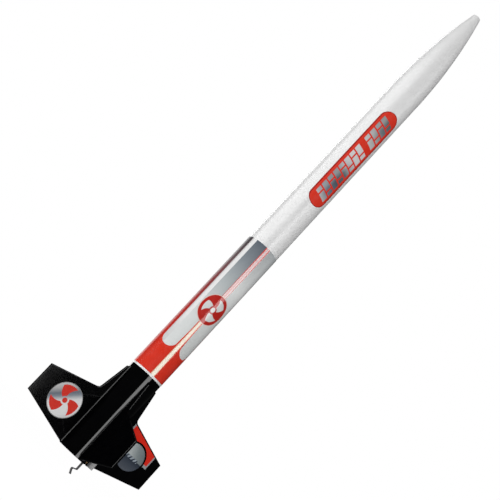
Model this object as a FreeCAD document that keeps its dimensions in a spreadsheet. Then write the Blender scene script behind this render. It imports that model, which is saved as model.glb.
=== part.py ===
import FreeCAD, Part
import math
import os
import re

import Sketcher
from FreeCAD import Placement, Rotation, Vector

# A single-stage model rocket for 18 mm motors, in millimetres.
# +Z runs along the airframe to the nose. The origin is on that axis, at the aft mouth of the motor tube.
# Fins stand on +X, +Y, -X and -Y. The launch lug is in the corner of the +X fin's -Y side.

DIMENSIONS = {
    # airframe tube and its printed wrap
    "tube_r": 12.4,
    "tube_bore_r": 12.05,
    "tube_aft_z": 69.3,
    "tube_fore_z": 341.0,
    "film": 0.08,
    "glue_gap": 0.02,
    "overcut": 1.0,
    "wrap_aft_z": 70.7,
    "wrap_fore_z": 185.7,
    # name panels, one on each side
    "panel_mid_z": 275.3,
    "panel_half_long": 45.2,
    "panel_half_wide": 7.37,
    "panel_azimuth": -95.5,
    # moulded fin unit
    "sleeve_bore_r": 11.6,
    "shoulder_r": 12.0,
    "shoulder_bore_r": 11.2,
    "bore_step_z": 64.5,
    "shoulder_fore_z": 88.0,
    "fin_thick": 1.8,
    "fin_count": 4,
    "fin_tip_r": 54.0,
    "fin_tip_aft_z": 11.1,
    "fin_tip_fore_z": 32.5,
    "fin_kink_r": 18.6,
    "fin_kink_z": 42.3,
    "strake_fore_r": 14.5,
    "strake_fore_z": 64.6,
    "fin_root_aft_z": 0.25,
    "fin_root_fore_z": 66.0,
    "kink_round": 3.5,
    "fin_edge_round": 0.45,
    "root_round": 0.5,
    # stickers on the fins
    "emblem_r": 12.0,
    "emblem_x": 30.45,
    "emblem_z": 21.2,
    "grey_disc_r": 9.9,
    "grey_disc_x": 32.6,
    "grey_disc_z": 23.4,
    "panel_ring_r": 11.2,
    "panel_inner_x": 18.8,
    "panel_outer_x": 47.0,
    "panel_foot_z": 23.6,
    "panel_margin": 0.9,
    # launch lug
    "lug_r": 2.2,
    "lug_bore_r": 1.98,
    "lug_long": 38.0,
    "lug_gap": 0.05,
    # motor mount
    "motor_tube_r": 9.35,
    "motor_bore_r": 9.015,
    "motor_tube_long": 64.8,
    "ring_gap": 0.03,
    "ring_thick": 3.0,
    "rear_ring_z": 1.2,
    "front_ring_z": 65.6,
    "thrust_ring_bore_r": 6.5,
    "thrust_ring_long": 5.0,
    # engine hook, a bent strip
    "hook_azimuth": -55.0,
    "hook_wide": 2.2,
    "hook_thick": 0.6,
    "hook_run_r": 9.75,
    "hook_head_r": 9.1,
    "hook_head_z": 63.9,
    "hook_lip_r": 6.2,
    "hook_lip_z": -6.6,
    "hook_bend_z": -5.5,
    "hook_end_r": 8.3,
    "hook_end_z": -10.2,
    "hook_head_bend": 0.5,
    "hook_lip_bend": 0.8,
    "hook_tab_bend": 0.9,
    "hook_slot_wide": 3.0,
    "hook_slot_long": 33.0,
    "hook_notch_play": 0.2,
    # shock cord
    "cord_r": 0.6,
    "cord_hole_r": 0.65,
    "cord_y": 1.2,
    "cord_low_x": 10.2,
    "cord_high_x": 10.6,
    "fold_x": 9.0,
    "fold_pitch": 7.2,
    "fold_low_z": 125.0,
    "fold_count": 16,
    "cord_turn_z": 300.0,
    "cord_turn_in": 2.6,
    "cord_turn_rise": 10.0,
    "cord_reach_in": 6.4,
    "cord_reach_dip": 0.8,
    "knot_r": 0.85,
    # recovery pack
    "pack_x": -1.6,
    "pack_r": 8.2,
    "pack_z": 246.0,
    "pack_long": 58.0,
    "winding_r": 8.9,
    "winding_z": 262.0,
    "winding_long": 26.0,
    "line_bundle_r": 0.55,
    "bundle_inset": 0.05,
    "bundle_reach_in": 4.0,
    "bundle_reach_dip": 2.4,
    "tape_disc_r": 3.0,
    "tape_disc_count": 6,
    "tape_disc_z": 299.0,
    "tape_disc_pitch": 0.2,
    # nose
    "seat_gap": 0.05,
    "ogive_radius": 401.0,
    "nose_wall": 1.3,
    "nose_shoulder_long": 20.0,
    "nose_flat_z": 426.4,
    "nose_tip_z": 427.5,
    "nose_tip_round": 2.4,
    "nose_tip_taper": 0.15,
    "nose_hollow_z": 418.0,
    "cap_flange_thick": 1.2,
    "cap_plug_long": 3.0,
    "eyelet_thick": 1.8,
    "eyelet_half_wide": 4.2,
    "eyelet_drop": 8.4,
    "eyelet_slot_half": 2.6,
    "eyelet_slot_r": 1.5,
    "weight_z": 398.0,
    "weight_long": 18.0,
    "weight_aft_r": 6.2,
    "weight_fore_r": 3.4,
}

QUARTER = 90.0
HALF = 180.0
TURN = 360.0
BEND_SHARE = 0.45
CLOSE = 0.01
Z_AXIS = Vector(0, 0, 1)

doc = FreeCAD.newDocument("model_rocket")
sheet = doc.addObject("Spreadsheet::Sheet", "Dimensions")
for row, (alias, number) in enumerate(DIMENSIONS.items(), start=1):
    sheet.set(f"A{row}", alias)
    sheet.set(f"B{row}", str(number))
    sheet.setAlias(f"B{row}", alias)
doc.recompute()

WORD = re.compile(r"[a-z][a-z_]+")
sub_parts = []


def linked(formula):
    """A formula of sheet aliases, written the way another object refers to them."""
    def full(word):
        alias = word.group(0)
        return "Dimensions." + alias if alias in DIMENSIONS else alias

    return WORD.sub(full, formula)


def size(formula):
    """The value of a formula of sheet aliases."""
    found = sheet.evalExpression(formula)
    return float(getattr(found, "Value", found))


def bind(item, **formulas):
    """Ties properties of an object to formulas of sheet aliases."""
    for name, formula in formulas.items():
        item.setExpression(name.replace("__", "."), linked(formula))
    return item


def named(item, label):
    """Gives a finished sub-part the label that names its file."""
    item.Label = label
    sub_parts.append(item)
    return item


def turned(azimuth, lift=0.0):
    """A placement turned about the rocket's axis."""
    return Placement(Vector(0, 0, lift), Rotation(Z_AXIS, azimuth))


# ---------------------------------------------------------------- round pieces

def cylinder(name, radius, bottom, length, x="0", y="0"):
    """An upright cylinder. Every size is a formula."""
    item = doc.addObject("Part::Cylinder", name)
    bind(item, Radius=radius, Height=length)
    bind(item, Placement__Base__x=x, Placement__Base__y=y, Placement__Base__z=bottom)
    return item


def cut(name, base, tool):
    item = doc.addObject("Part::Cut", name)
    item.Base = base
    item.Tool = tool
    return item


def fused(name, pieces):
    item = doc.addObject("Part::MultiFuse", name)
    item.Shapes = pieces
    return item


def ring(name, outer, inner, bottom, length, x="0", y="0"):
    """A straight tube or flat ring."""
    shell = cylinder(name + "_outside", outer, bottom, length, x, y)
    hollow = cylinder(name + "_inside", inner, bottom, length, x, y)
    return cut(name, shell, hollow)


def radial_box(name, wide, reach, bottom, length, azimuth):
    """A box that runs out from the axis at an azimuth, for slots and slits."""
    item = doc.addObject("Part::Box", name)
    bind(item, Length=reach, Width=wide, Height=length)
    side = Vector(0, -size(wide) / 2, size(bottom))
    item.Placement = turned(size(azimuth)).multiply(Placement(side, Rotation()))
    return item


def pair(name, make):
    """Two of the same sticker, half a turn apart, as one group of separate solids."""
    group = doc.addObject("Part::Compound", name)
    group.Links = [make(f"{name}_{side}", side * HALF) for side in (0, 1)]
    return group


# ---------------------------------------------------------------- sketches

def origin_plane(body, role):
    return next(item for item in body.Origin.OriginFeatures if item.Role == role)


def flat_sketch(body, name, role="XZ_Plane"):
    sketch = body.newObject("Sketcher::SketchObject", name)
    sketch.AttachmentSupport = (origin_plane(body, role), [""])
    sketch.MapMode = "FlatFace"
    return sketch


def hold(sketch, kind, formula, *where):
    """A dimension of a sketch that follows the sheet."""
    number = sketch.addConstraint(Sketcher.Constraint(kind, *where, size(formula)))
    sketch.setExpression(f"Constraints[{number}]", linked(formula))


def pin(sketch, geometry, end, across=None, up=None):
    """Fixes a point's two distances from the sketch's origin, each a formula or None."""
    for kind, formula, axis in (("DistanceX", across, -2), ("DistanceY", up, -1)):
        if formula is None:
            continue
        if formula == "0":
            sketch.addConstraint(Sketcher.Constraint("PointOnObject", geometry, end, axis))
        else:
            hold(sketch, kind, formula, -1, 1, geometry, end)


def polygon(sketch, corners):
    """A closed outline of straight lines, each corner a pair of formulas."""
    points = [Vector(size(across), size(up), 0) for across, up in corners]
    count = len(points)
    lines = [sketch.addGeometry(Part.LineSegment(points[k], points[(k + 1) % count])) for k in range(count)]
    for k, line in enumerate(lines):
        sketch.addConstraint(Sketcher.Constraint("Coincident", line, 2, lines[(k + 1) % count], 1))
        pin(sketch, line, 1, *corners[k])
    return lines


def revolved(body, sketch, name="Turned"):
    feature = body.newObject("PartDesign::Revolution", name)
    feature.Profile = sketch
    feature.ReferenceAxis = (sketch, ["V_Axis"])
    feature.Angle = TURN
    return feature


def round_edges(body, name, radius, wanted):
    """Rounds the edges of the body's tip that the test picks."""
    doc.recompute()
    base = body.Tip
    picked = [f"Edge{k}" for k, edge in enumerate(base.Shape.Edges, start=1) if wanted(edge)]
    feature = body.newObject("PartDesign::Fillet", name)
    feature.Base = (base, picked)
    bind(feature, Radius=radius)
    doc.recompute()
    return feature


# ---------------------------------------------------------------- airframe

def make_body_tube():
    """Spiral-wound paper tube, open at both ends."""
    wall = ring("TubeWall", "tube_r", "tube_bore_r", "tube_aft_z", "tube_fore_z - tube_aft_z")
    return named(wall, "body_tube")


def make_tail_wrap():
    """Printed film wrapped round the tube, just ahead of the fin unit."""
    skin = "tube_r + glue_gap"
    wrap = ring("WrapFilm", skin + " + film", skin, "wrap_aft_z", "wrap_fore_z - wrap_aft_z")
    return named(wrap, "tail_wrap")


def capsule(name, azimuth):
    """A block with the outline of a name panel, reaching out from the axis."""
    body = doc.addObject("PartDesign::Body", name)
    sketch = flat_sketch(body, name + "_outline")
    half, mid = size("panel_half_wide"), size("panel_mid_z")
    far = size("panel_half_long") - half
    top_circle = Part.Circle(Vector(0, mid + far, 0), Z_AXIS, half)
    top = sketch.addGeometry(Part.ArcOfCircle(top_circle, 0, math.pi))
    low_circle = Part.Circle(Vector(0, mid - far, 0), Z_AXIS, half)
    low = sketch.addGeometry(Part.ArcOfCircle(low_circle, math.pi, 2 * math.pi))
    left = sketch.addGeometry(Part.LineSegment(Vector(-half, mid + far, 0), Vector(-half, mid - far, 0)))
    right = sketch.addGeometry(Part.LineSegment(Vector(half, mid - far, 0), Vector(half, mid + far, 0)))
    for first, second in ((top, left), (left, low), (low, right), (right, top)):
        sketch.addConstraint(Sketcher.Constraint("Tangent", first, 2, second, 1))
    pin(sketch, top, 3, "0", "panel_mid_z + panel_half_long - panel_half_wide")
    pin(sketch, low, 3, "0", "panel_mid_z - panel_half_long + panel_half_wide")
    hold(sketch, "Radius", "panel_half_wide", top)
    pad = body.newObject("PartDesign::Pad", name + "_block")
    pad.Profile = sketch
    bind(pad, Length="tube_r * 2")
    body.Placement = turned(azimuth + QUARTER)
    return body


def name_panel(name, turn):
    skin = "tube_r + glue_gap"
    film = ring(name + "_film", skin + " + film", skin, "wrap_fore_z", "tube_fore_z - wrap_fore_z")
    panel = doc.addObject("Part::Common", name)
    panel.Base = film
    panel.Tool = capsule(name + "_capsule", size("panel_azimuth") + turn)
    return panel


# ---------------------------------------------------------------- fin unit

def make_fin_unit():
    """One moulding: a sleeve with four swept fins, and a shoulder that plugs into the tube."""
    body = doc.addObject("PartDesign::Body", "FinUnit")
    wall = flat_sketch(body, "SleeveProfile")
    polygon(wall, [
        ("sleeve_bore_r", "0"),
        ("tube_r", "0"),
        ("tube_r", "tube_aft_z"),
        ("shoulder_r", "tube_aft_z"),
        ("shoulder_r", "shoulder_fore_z"),
        ("shoulder_bore_r", "shoulder_fore_z"),
        ("shoulder_bore_r", "bore_step_z"),
        ("sleeve_bore_r", "bore_step_z"),
    ])
    revolved(body, wall, "Sleeve")

    outline = flat_sketch(body, "FinOutline")
    inside = "(tube_r + sleeve_bore_r) / 2"
    polygon(outline, [
        (inside, "fin_root_aft_z"),
        ("fin_tip_r", "fin_tip_aft_z"),
        ("fin_tip_r", "fin_tip_fore_z"),
        ("fin_kink_r", "fin_kink_z"),
        ("strake_fore_r", "strake_fore_z"),
        (inside, "fin_root_fore_z"),
    ])
    fin = body.newObject("PartDesign::Pad", "Fin")
    fin.Profile = outline
    fin.Midplane = True
    bind(fin, Length="fin_thick")
    doc.recompute()

    fins = body.newObject("PartDesign::PolarPattern", "Fins")
    fins.Originals = [fin]
    fins.Axis = (outline, ["V_Axis"])
    fins.Angle = TURN
    bind(fins, Occurrences="fin_count")
    body.Tip = fins

    thick = size("fin_thick")
    root = size("tube_r")

    def across(edge):
        """Distance of an edge's middle from the axis."""
        middle = edge.CenterOfMass
        return math.hypot(middle.x, middle.y)

    def at_kink(edge):
        """The short edge across a fin's thickness where the strake meets the leading edge."""
        off_r = abs(across(edge) - size("fin_kink_r"))
        off_z = abs(edge.CenterOfMass.z - size("fin_kink_z"))
        return max(off_r, off_z) < thick / 2 and edge.Length < thick + CLOSE

    def on_fin_rim(edge):
        """An edge of a fin's flat face, clear of the root's fillet."""
        middle = edge.CenterOfMass
        off_face = abs(min(abs(middle.x), abs(middle.y)) - thick / 2)
        return off_face < CLOSE and across(edge) > root + size("root_round") and edge.Length > thick + CLOSE

    def on_root(edge):
        """A long edge where a fin's face meets the sleeve."""
        long = size("fin_root_fore_z - fin_root_aft_z")
        return abs(across(edge) - root) < thick / 4 and edge.BoundBox.ZLength > long - thick

    round_edges(body, "KinkRound", "kink_round", at_kink)
    round_edges(body, "RootRound", "root_round", on_root)
    round_edges(body, "FinRimRound", "fin_edge_round", on_fin_rim)

    before = body.Shape.Volume
    slot = flat_sketch(body, "HookSlotOutline", "YZ_Plane")
    edge = size("hook_slot_wide") / 2
    low, high = -size("overcut"), size("hook_slot_long")
    corners = [Vector(-edge, low, 0), Vector(edge, low, 0), Vector(edge, high, 0), Vector(-edge, high, 0)]
    lines = [slot.addGeometry(Part.LineSegment(corners[k], corners[(k + 1) % 4])) for k in range(4)]
    for k, line in enumerate(lines):
        slot.addConstraint(Sketcher.Constraint("Coincident", line, 2, lines[(k + 1) % 4], 1))
        if k > 0:
            slot.addConstraint(Sketcher.Constraint("Vertical" if k % 2 else "Horizontal", line))
    slot.addConstraint(Sketcher.Constraint("Symmetric", lines[0], 1, lines[0], 2, -2))
    hold(slot, "DistanceX", "hook_slot_wide", lines[0], 1, lines[0], 2)
    hold(slot, "DistanceY", "hook_slot_long", -1, 1, lines[2], 1)
    hold(slot, "DistanceY", "overcut", lines[0], 1, -1, 1)
    slot.AttachmentOffset = Placement(Vector(), Rotation(Vector(0, 1, 0), size("hook_azimuth")))
    pocket = body.newObject("PartDesign::Pocket", "HookSlot")
    pocket.Profile = slot
    pocket.Reversed = True
    bind(pocket, Length="tube_r * 2")
    doc.recompute()
    print("hook slot removes", round(before - body.Shape.Volume, 2), "mm3")
    return named(body, "fin_unit")


# ---------------------------------------------------------------- fin stickers

def fin_face_disc(name, radius, across, up, turn):
    """A round sticker on the -Y face of a fin. The fin stands on +X, or on -X where across is negative."""
    item = doc.addObject("Part::Cylinder", name)
    bind(item, Radius=radius, Height="film")
    face = -size("fin_thick / 2 + glue_gap")
    lying = Placement(Vector(size(across), face, size(up)), Rotation(Vector(1, 0, 0), QUARTER))
    item.Placement = turned(turn).multiply(lying)
    return item


def emblem(name, turn):
    return fin_face_disc(name, "emblem_r", "-emblem_x", "emblem_z", turn)


def grey_disc(name, turn):
    return fin_face_disc(name, "grey_disc_r", "grey_disc_x", "grey_disc_z", turn)


def leading_edge_z(across, margin):
    """Height of a line that runs a margin inside the fin's swept leading edge."""
    run = size("fin_tip_r - fin_kink_r")
    fall = size("fin_kink_z - fin_tip_fore_z")
    slant = math.hypot(run, fall)
    return size("fin_kink_z") - (across - size("fin_kink_r")) * fall / run - margin * slant / run


def red_panel(name, turn):
    """A sticker that follows the leading edge and arches over the grey disc."""
    body = doc.addObject("PartDesign::Body", name)
    sketch = flat_sketch(body, name + "_outline")
    margin = size("panel_margin")
    inner, outer, foot = size("panel_inner_x"), size("panel_outer_x"), size("panel_foot_z")
    centre = Vector(size("grey_disc_x"), size("grey_disc_z"), 0)
    arch = size("panel_ring_r")
    rise = foot - centre.y
    reach = math.sqrt(arch ** 2 - rise ** 2)
    start = math.atan2(rise, reach)
    corners = [
        Vector(centre.x + reach, foot, 0),
        Vector(outer, foot, 0),
        Vector(outer, leading_edge_z(outer, margin), 0),
        Vector(inner, leading_edge_z(inner, margin), 0),
        Vector(inner, foot, 0),
        Vector(centre.x - reach, foot, 0),
    ]
    lines = [sketch.addGeometry(Part.LineSegment(corners[k], corners[k + 1])) for k in range(5)]
    arc = sketch.addGeometry(Part.ArcOfCircle(Part.Circle(centre, Z_AXIS, arch), start, math.pi - start))
    for k in range(4):
        sketch.addConstraint(Sketcher.Constraint("Coincident", lines[k], 2, lines[k + 1], 1))
    sketch.addConstraint(Sketcher.Constraint("Coincident", lines[4], 2, arc, 2))
    sketch.addConstraint(Sketcher.Constraint("Coincident", arc, 1, lines[0], 1))
    hold(sketch, "Radius", "panel_ring_r", arc)
    pin(sketch, arc, 3, "grey_disc_x", "grey_disc_z")
    pin(sketch, lines[0], 1, None, "panel_foot_z")
    pin(sketch, lines[1], 1, "panel_outer_x", "panel_foot_z")
    pin(sketch, lines[4], 1, "panel_inner_x", "panel_foot_z")
    pin(sketch, lines[4], 2, None, "panel_foot_z")
    sketch.addConstraint(Sketcher.Constraint("Vertical", lines[1]))
    sketch.addConstraint(Sketcher.Constraint("Vertical", lines[3]))
    sketch.addConstraint(Sketcher.Constraint("DistanceY", -1, 1, lines[1], 2, corners[2].y))
    sketch.addConstraint(Sketcher.Constraint("DistanceY", -1, 1, lines[3], 1, corners[3].y))
    pad = body.newObject("PartDesign::Pad", name + "_film")
    pad.Profile = sketch
    bind(pad, Length="film")
    face = Vector(0, -size("fin_thick / 2 + glue_gap"), 0)
    body.Placement = turned(turn).multiply(Placement(face, Rotation()))
    return body


def make_launch_lug():
    """Short tube that slides on the launch rod, glued where the +X fin meets the sleeve."""
    standoff = size("lug_r + lug_gap")
    side = size("fin_thick") / 2 + standoff
    out = math.sqrt((size("tube_r") + standoff) ** 2 - side ** 2)
    x, y = str(out), str(-side)
    return named(ring("LugTube", "lug_r", "lug_bore_r", "0", "lug_long", x, y), "launch_lug")


# ---------------------------------------------------------------- motor mount

def make_motor_tube():
    """Paper tube that holds the motor, with a notch in its fore end for the hook's head."""
    wall = ring("MotorTubeWall", "motor_tube_r", "motor_bore_r", "0", "motor_tube_long")
    notch = radial_box(
        "HeadNotch", "hook_wide + 2 * hook_notch_play", "tube_r",
        "hook_head_z - hook_thick / 2 - hook_notch_play", "thrust_ring_long", "hook_azimuth")
    return named(cut("MotorTube", wall, notch), "motor_tube")


def make_motor_rings():
    """Thrust ring on the motor tube's fore end, and the two rings that centre the motor mount."""
    thrust = ring(
        "ThrustRing", "motor_tube_r", "thrust_ring_bore_r", "motor_tube_long", "thrust_ring_long")
    named(thrust, "thrust_ring")

    hugging = "motor_tube_r + ring_gap"
    through = "ring_thick + 2 * overcut"
    front = ring("FrontRingDisc", "shoulder_bore_r - ring_gap", hugging, "front_ring_z", "ring_thick")
    hole = cylinder("CordHole", "cord_hole_r", "front_ring_z - overcut", through, "cord_low_x", "cord_y")
    named(cut("FrontRing", front, hole), "front_centering_ring")

    rear = ring("RearRingDisc", "sleeve_bore_r - ring_gap", hugging, "rear_ring_z", "ring_thick")
    start = "rear_ring_z - overcut"
    notch = radial_box("RearNotch", "hook_slot_wide", "tube_r", start, through, "hook_azimuth")
    named(cut("RearRing", rear, notch), "rear_centering_ring")


def bent_path(corners, radii):
    """Edges of straight runs joined by tangent arcs. radii holds one bend radius for each inner corner."""
    edges = []
    start = corners[0]
    for before, corner, after, radius in zip(corners, corners[1:], corners[2:], radii):
        coming = (corner - before).normalize()
        going = (after - corner).normalize()
        turn = coming.getAngle(going)
        back = radius * math.tan(turn / 2)
        first, last = corner - coming * back, corner + going * back
        towards = (going - coming).normalize()
        middle = corner + towards * (radius / math.cos(turn / 2) - radius)
        if (first - start).Length > 1e-6:
            edges.append(Part.LineSegment(start, first).toShape())
        edges.append(Part.Arc(first, middle, last).toShape())
        start = last
    edges.append(Part.LineSegment(start, corners[-1]).toShape())
    return edges


def make_engine_hook():
    """Spring-steel strip: a head that hooks through the motor tube, a long run, a lip and a finger tab."""
    corners = [
        Vector(size("hook_head_r"), 0, size("hook_head_z")),
        Vector(size("hook_run_r"), 0, size("hook_head_z")),
        Vector(size("hook_run_r"), 0, size("hook_bend_z")),
        Vector(size("hook_lip_r"), 0, size("hook_lip_z")),
        Vector(size("hook_end_r"), 0, size("hook_end_z")),
    ]
    bends = [size("hook_head_bend"), size("hook_lip_bend"), size("hook_tab_bend")]
    spine = Part.Wire(bent_path(corners, bends))
    half_wide, half_thick = size("hook_wide") / 2, size("hook_thick") / 2
    section = Part.makePolygon([
        corners[0] + Vector(0, across * half_wide, up * half_thick)
        for across, up in ((-1, -1), (1, -1), (1, 1), (-1, 1), (-1, -1))
    ])
    hook = doc.addObject("Part::Feature", "HookStrip")
    hook.Shape = spine.makePipeShell([section], True, False)
    hook.Placement = turned(size("hook_azimuth"))
    return named(hook, "engine_hook")


# ---------------------------------------------------------------- recovery gear

def round_pipe(edges, radius):
    """A round rod along a path of joined edges, checked against its section times its length."""
    path = Part.Wire(edges)
    start = path.Edges[0]
    tangent = start.tangentAt(start.FirstParameter)
    disc = Part.Wire(Part.makeCircle(radius, start.valueAt(start.FirstParameter), tangent))
    rod = path.makePipeShell([disc], True, False)
    expected = math.pi * radius ** 2 * path.Length
    print(f"rod length {path.Length:.1f} mm, volume {rod.Volume:.1f} of {expected:.1f} mm3")
    return rod


def smooth_path(corners):
    """Edges of a route whose every bend is as large as its two runs allow."""
    radii = []
    for before, corner, after in zip(corners, corners[1:], corners[2:]):
        coming, going = corner - before, after - corner
        shorter = min(coming.Length, going.Length)
        radii.append(BEND_SHARE * shorter / math.tan(coming.getAngle(going) / 2))
    print("bend radii from", round(min(radii), 2), "to", round(max(radii), 1), "mm")
    return bent_path(corners, radii)


def eyelet_z():
    """Height of the middle of the slot in the eyelet."""
    return size("tube_fore_z - nose_shoulder_long - cap_flange_thick - eyelet_drop / 2")


def make_shock_cord():
    """Elastic cord: up from the front ring, through a stack of even folds, past the pack, to the eyelet."""
    side, pitch, low_z = size("fold_x"), size("fold_pitch"), size("fold_low_z")
    low_x, high_x = size("cord_low_x"), size("cord_high_x")
    anchor_z = size("front_ring_z - knot_r")
    route = [(low_x, anchor_z), (low_x, low_z - 4 * pitch), (side, low_z - pitch)]
    for k in range(int(size("fold_count"))):
        sign = 1 if k % 2 == 0 else -1
        route += [(sign * side, low_z + k * pitch), (-sign * side, low_z + k * pitch)]
    top_z = low_z + size("fold_count") * pitch
    knot_x = -size("eyelet_thick") / 2 - size("knot_r") - size("glue_gap")
    route += [
        (side, top_z),
        (high_x, top_z + 2 * pitch),
        (high_x, size("cord_turn_z")),
        (high_x - size("cord_turn_in"), size("cord_turn_z + cord_turn_rise")),
        (high_x - size("cord_reach_in"), eyelet_z() - size("cord_reach_dip")),
        (knot_x, eyelet_z()),
    ]
    y = size("cord_y")
    rod = round_pipe(smooth_path([Vector(x, y, z) for x, z in route]), size("cord_r"))
    knots = [Part.makeSphere(size("knot_r"), Vector(x, y, z)) for x, z in (route[0], route[-1])]
    cord = doc.addObject("Part::Feature", "ElasticCord")
    cord.Shape = rod.fuse(knots)
    return named(cord, "shock_cord")


def make_recovery_pack():
    """The rolled canopy, the lines wound round it, and the tape discs of its six corners in a stack."""
    canopy = cylinder("RolledCanopy", "pack_r", "pack_z", "pack_long", "pack_x")
    named(canopy, "parachute_canopy")

    winding = ring("LineWinding", "winding_r", "pack_r + ring_gap", "winding_z", "winding_long", "pack_x")
    y, x = -size("cord_y"), size("pack_x - winding_r + bundle_inset")
    knot_x = size("eyelet_thick") / 2 + size("knot_r") + size("glue_gap")
    route = [
        Vector(x, y, size("winding_z + winding_long / 2")),
        Vector(x, y, size("pack_z + pack_long")),
        Vector(x + size("bundle_reach_in"), y, eyelet_z() - size("bundle_reach_dip")),
        Vector(knot_x, y, eyelet_z()),
    ]
    bundle = doc.addObject("Part::Feature", "LineBundle")
    knot = Part.makeSphere(size("knot_r"), route[-1])
    bundle.Shape = round_pipe(smooth_path(route), size("line_bundle_r")).fuse(knot)
    named(fused("LinesOnPack", [winding, bundle]), "shroud_lines")

    discs = []
    count = int(size("tape_disc_count"))
    for k in range(count):
        disc = doc.addObject("Part::Cylinder", f"TapeDisc{k}")
        bind(disc, Radius="tape_disc_r", Height="film")
        out = size("pack_r + glue_gap") + k * size("tape_disc_pitch")
        place = Vector(size("pack_x"), -out, size("tape_disc_z"))
        disc.Placement = Placement(place, Rotation(Vector(1, 0, 0), QUARTER))
        discs.append(disc)
    stack = doc.addObject("Part::Compound", "TapeDiscs")
    stack.Links = discs
    named(stack, "line_tape_discs")


# ---------------------------------------------------------------- nose

def make_nose_cone():
    """Blown plastic ogive with a blunt tip, a seat on the tube's rim and a shoulder inside it."""
    body = doc.addObject("PartDesign::Body", "NoseCone")
    sketch = flat_sketch(body, "NoseProfile")
    seat, out = size("tube_fore_z + seat_gap"), size("tube_r")
    foot = size("tube_fore_z - nose_shoulder_long")
    shoulder, bore = size("shoulder_r"), size("shoulder_r - nose_wall")
    radius, wall = size("ogive_radius"), size("nose_wall")
    centre = Vector(out - radius, seat, 0)
    flat_z, tip_z, blunt = size("nose_flat_z"), size("nose_tip_z"), size("nose_tip_round")
    hollow_z = size("nose_hollow_z")

    def on_ogive(reach, z):
        return Vector(centre.x + math.sqrt(reach ** 2 - (z - seat) ** 2), z, 0)

    def angle_of(point):
        return math.atan2(point.y - centre.y, point.x - centre.x)

    rim = on_ogive(radius, flat_z)
    inner = on_ogive(radius - wall, hollow_z)
    cap_z = tip_z - blunt
    outer_arc = sketch.addGeometry(Part.ArcOfCircle(Part.Circle(centre, Z_AXIS, radius), 0, angle_of(rim)))
    taper = size("nose_tip_taper")
    nub = sketch.addGeometry(Part.LineSegment(rim, Vector(rim.x - taper, cap_z, 0)))
    corner = Vector(rim.x - taper - blunt, cap_z, 0)
    cap = sketch.addGeometry(Part.ArcOfCircle(Part.Circle(corner, Z_AXIS, blunt), 0, math.pi / 2))
    points = [
        Vector(corner.x, tip_z, 0),
        Vector(0, tip_z, 0),
        Vector(0, hollow_z, 0),
        inner,
    ]
    upper = [sketch.addGeometry(Part.LineSegment(points[k], points[k + 1])) for k in range(3)]
    inner_circle = Part.Circle(centre, Z_AXIS, radius - wall)
    inner_arc = sketch.addGeometry(Part.ArcOfCircle(inner_circle, 0, angle_of(inner)))
    points = [
        Vector(out - wall, seat, 0),
        Vector(bore, seat, 0),
        Vector(bore, foot, 0),
        Vector(shoulder, foot, 0),
        Vector(shoulder, seat, 0),
        Vector(out, seat, 0),
    ]
    lower = [sketch.addGeometry(Part.LineSegment(points[k], points[k + 1])) for k in range(5)]

    joined = [(outer_arc, 2, nub, 1), (nub, 2, cap, 1), (cap, 2, upper[0], 1)]
    joined += [(upper[0], 2, upper[1], 1), (upper[1], 2, upper[2], 1), (upper[2], 2, inner_arc, 2)]
    joined += [(inner_arc, 1, lower[0], 1)] + [(lower[k], 2, lower[k + 1], 1) for k in range(4)]
    joined += [(lower[4], 2, outer_arc, 1)]
    for ends in joined:
        sketch.addConstraint(Sketcher.Constraint("Coincident", *ends))
    seat_z = "tube_fore_z + seat_gap"
    pin(sketch, outer_arc, 3, "tube_r - ogive_radius", seat_z)
    hold(sketch, "Radius", "ogive_radius", outer_arc)
    pin(sketch, outer_arc, 1, None, seat_z)
    pin(sketch, nub, 1, None, "nose_flat_z")
    hold(sketch, "Radius", "nose_tip_round", cap)
    pin(sketch, upper[0], 1, None, "nose_tip_z")
    pin(sketch, upper[1], 1, "0", "nose_tip_z")
    pin(sketch, upper[2], 1, "0", "nose_hollow_z")
    pin(sketch, inner_arc, 3, "tube_r - ogive_radius", seat_z)
    hold(sketch, "Radius", "ogive_radius - nose_wall", inner_arc)
    pin(sketch, upper[2], 2, None, "nose_hollow_z")
    pin(sketch, inner_arc, 1, None, seat_z)
    pin(sketch, lower[1], 1, "shoulder_r - nose_wall", seat_z)
    pin(sketch, lower[2], 1, "shoulder_r - nose_wall", "tube_fore_z - nose_shoulder_long")
    pin(sketch, lower[3], 1, "shoulder_r", "tube_fore_z - nose_shoulder_long")
    pin(sketch, lower[4], 1, "shoulder_r", seat_z)
    revolved(body, sketch)
    return named(body, "nose_cone")


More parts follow.
